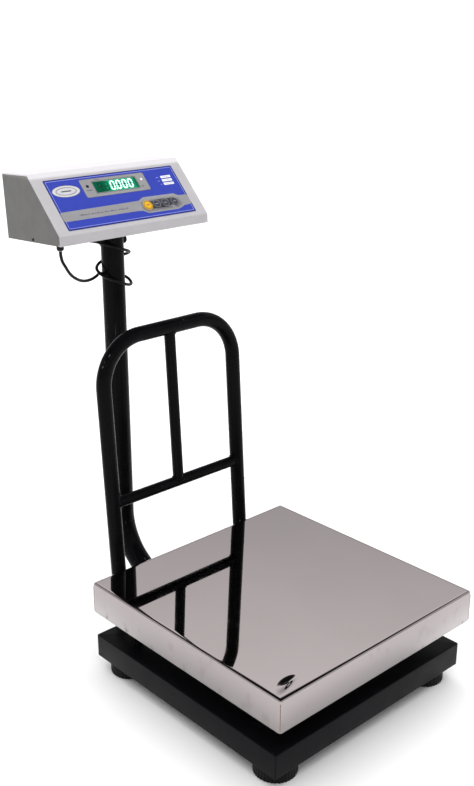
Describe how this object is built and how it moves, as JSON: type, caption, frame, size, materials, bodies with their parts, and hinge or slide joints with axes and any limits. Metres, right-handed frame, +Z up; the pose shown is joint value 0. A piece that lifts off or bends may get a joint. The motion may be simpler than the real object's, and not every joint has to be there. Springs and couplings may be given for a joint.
{
  "type": "platform weighing scale",
  "caption": "Electronic platform scale for small animals: steel pan on a low base, rear guard rail, column and tilting indicator.",
  "frame": {"origin": "centre of the scale's box at the height of the floor that the feet stand on", "axes": "+Z up, -Y towards the user in front of the pan, +X to the user's right"},
  "size_m": [0.4, 0.6709, 0.7316],
  "materials": {
    "powder_black": "satin black powder coat",
    "tube_black": "semi-gloss black powder coat",
    "zinc_steel": "zinc plated",
    "black_screw": "black oxide",
    "cell_aluminium": "machined",
    "foot_plastic": "moulded black nylon",
    "rubber_black": "matte",
    "cable_jacket": "smooth PVC jacket",
    "pan_steel": "mirror-polished stainless sheet",
    "case_light": "fine textured light grey paint",
    "case_grey": "fine textured mid-grey paint",
    "overlay_film": "printed membrane film",
    "display_glass": "tinted window",
    "display_body": "backlit display",
    "board_green": "solder mask",
    "battery_case": "moulded",
    "fitting_black": "moulded",
    "key_yellow": "printed membrane dome",
    "key_grey": "printed membrane dome"
  },
  "bodies": {
    "base": {"base_tube_front": "powder_black", "base_tube_rear": "powder_black", "base_tube_left": "powder_black", "base_tube_right": "powder_black", "load_beam": "powder_black", "guard_brackets": "powder_black", "column_flange": "powder_black", "guard_hoop": "tube_black", "guard_cross_rail": "tube_black", "guard_centre_bar": "tube_black", "column_tube": "tube_black", "foot_inserts": "zinc_steel", "cell_spacer_lower": "zinc_steel", "cell_bolts_lower": "zinc_steel", "guard_bracket_screws": "zinc_steel", "column_flange_bolts": "zinc_steel", "overload_stops": "black_screw", "load_cell": "cell_aluminium", "guard_end_plugs": "foot_plastic", "column_cap": "foot_plastic", "cable_grommet": "rubber_black", "signal_cable": "cable_jacket"},
    "weigh_frame": {"weigh_arm_left": "powder_black", "weigh_arm_right": "powder_black", "weigh_cross_front": "powder_black", "weigh_cross_rear": "powder_black", "weigh_plate": "powder_black", "cell_spacer_upper": "zinc_steel", "cell_bolts_upper": "zinc_steel", "pan_bumpers": "rubber_black"},
    "pan_lift_off": {"pan": "pan_steel"},
    "indicator": {"tilt_bracket": "powder_black", "bracket_screws": "zinc_steel", "pivot_bolt": "black_screw", "head_front": "case_light", "head_cover": "case_grey", "case_screws": "black_screw", "overlay": "overlay_film", "display_window": "display_glass", "display_module": "display_body", "keypad_board": "board_green", "main_board": "board_green", "battery": "battery_case", "cable_gland": "fitting_black", "power_inlet": "fitting_black", "fuse_holder": "fitting_black", "switch_housing": "fitting_black"},
    "power_rocker_body": {"power_rocker": "fitting_black"},
    "key_power_body": {"key_power": "key_yellow"},
    "key_unit_body": {"key_unit": "key_grey"},
    "key_hold_body": {"key_hold": "key_grey"},
    "key_zero_body": {"key_zero": "key_grey"},
    "foot_screw_fl": {"foot_stem_fl": "zinc_steel"},
    "foot_turn_fl": {"foot_pad_fl": "foot_plastic"},
    "foot_screw_fr": {"foot_stem_fr": "zinc_steel"},
    "foot_turn_fr": {"foot_pad_fr": "foot_plastic"},
    "foot_screw_rl": {"foot_stem_rl": "zinc_steel"},
    "foot_turn_rl": {"foot_pad_rl": "foot_plastic"},
    "foot_screw_rr": {"foot_stem_rr": "zinc_steel"},
    "foot_turn_rr": {"foot_pad_rr": "foot_plastic"}
  },
  "joints": [
    {"name": "weigh_travel", "type": "slide", "parent": "base", "child": "weigh_frame", "axis": [0, 0, -1], "range_m": [0, 0.0008], "stiffness_N_per_m": 1000000, "springref_m": -0.0001, "deforming": ["load_cell"]},
    {"name": "pan_lift", "type": "slide", "parent": "weigh_frame", "child": "pan_lift_off", "axis": [0, 0, 1], "range_m": [0, 0.15]},
    {"name": "indicator_tilt", "type": "hinge", "parent": "base", "child": "indicator", "pos_m": [0, 0.2525, 0.6155], "axis": [1, 0, 0], "range_deg": [-12, 12], "deforming": ["signal_cable"]},
    {"name": "power_switch", "type": "hinge", "parent": "indicator", "child": "power_rocker_body", "pos_m": [0.042, 0.32815, 0.67362], "axis": [1, 0, 0], "range_deg": [0, 16]},
    {"name": "key_power_press", "type": "slide", "parent": "indicator", "child": "key_power_body", "axis": [0, 0.7193, -0.6947], "range_m": [0, 0.0005], "stiffness_N_per_m": 4000, "springref_m": -0.0004},
    {"name": "key_unit_press", "type": "slide", "parent": "indicator", "child": "key_unit_body", "axis": [0, 0.7193, -0.6947], "range_m": [0, 0.0005], "stiffness_N_per_m": 4000, "springref_m": -0.0004},
    {"name": "key_hold_press", "type": "slide", "parent": "indicator", "child": "key_hold_body", "axis": [0, 0.7193, -0.6947], "range_m": [0, 0.0005], "stiffness_N_per_m": 4000, "springref_m": -0.0004},
    {"name": "key_zero_press", "type": "slide", "parent": "indicator", "child": "key_zero_body", "axis": [0, 0.7193, -0.6947], "range_m": [0, 0.0005], "stiffness_N_per_m": 4000, "springref_m": -0.0004},
    {"name": "foot_fl_travel", "type": "slide", "parent": "base", "child": "foot_screw_fl", "axis": [0, 0, -1], "range_m": [0, 0.012]},
    {"name": "foot_fl_turn", "type": "hinge", "parent": "foot_screw_fl", "child": "foot_turn_fl", "pos_m": [-0.159, -0.2875, 0.008], "axis": [0, 0, -1], "range_deg": [0, 2880]},
    {"name": "foot_fr_travel", "type": "slide", "parent": "base", "child": "foot_screw_fr", "axis": [0, 0, -1], "range_m": [0, 0.012]},
    {"name": "foot_fr_turn", "type": "hinge", "parent": "foot_screw_fr", "child": "foot_turn_fr", "pos_m": [0.159, -0.2875, 0.008], "axis": [0, 0, -1], "range_deg": [0, 2880]},
    {"name": "foot_rl_travel", "type": "slide", "parent": "base", "child": "foot_screw_rl", "axis": [0, 0, -1], "range_m": [0, 0.012]},
    {"name": "foot_rl_turn", "type": "hinge", "parent": "foot_screw_rl", "child": "foot_turn_rl", "pos_m": [-0.159, 0.0305, 0.008], "axis": [0, 0, -1], "range_deg": [0, 2880]},
    {"name": "foot_rr_travel", "type": "slide", "parent": "base", "child": "foot_screw_rr", "axis": [0, 0, -1], "range_m": [0, 0.012]},
    {"name": "foot_rr_turn", "type": "hinge", "parent": "foot_screw_rr", "child": "foot_turn_rr", "pos_m": [0.159, 0.0305, 0.008], "axis": [0, 0, -1], "range_deg": [0, 2880]}
  ],
  "couplings": [
    {"joint": "foot_fl_turn", "follows": "foot_fl_travel", "rad_per_m": 4188.7},
    {"joint": "foot_fr_turn", "follows": "foot_fr_travel", "rad_per_m": 4188.7},
    {"joint": "foot_rl_turn", "follows": "foot_rl_travel", "rad_per_m": 4188.7},
    {"joint": "foot_rr_turn", "follows": "foot_rr_travel", "rad_per_m": 4188.7}
  ]
}
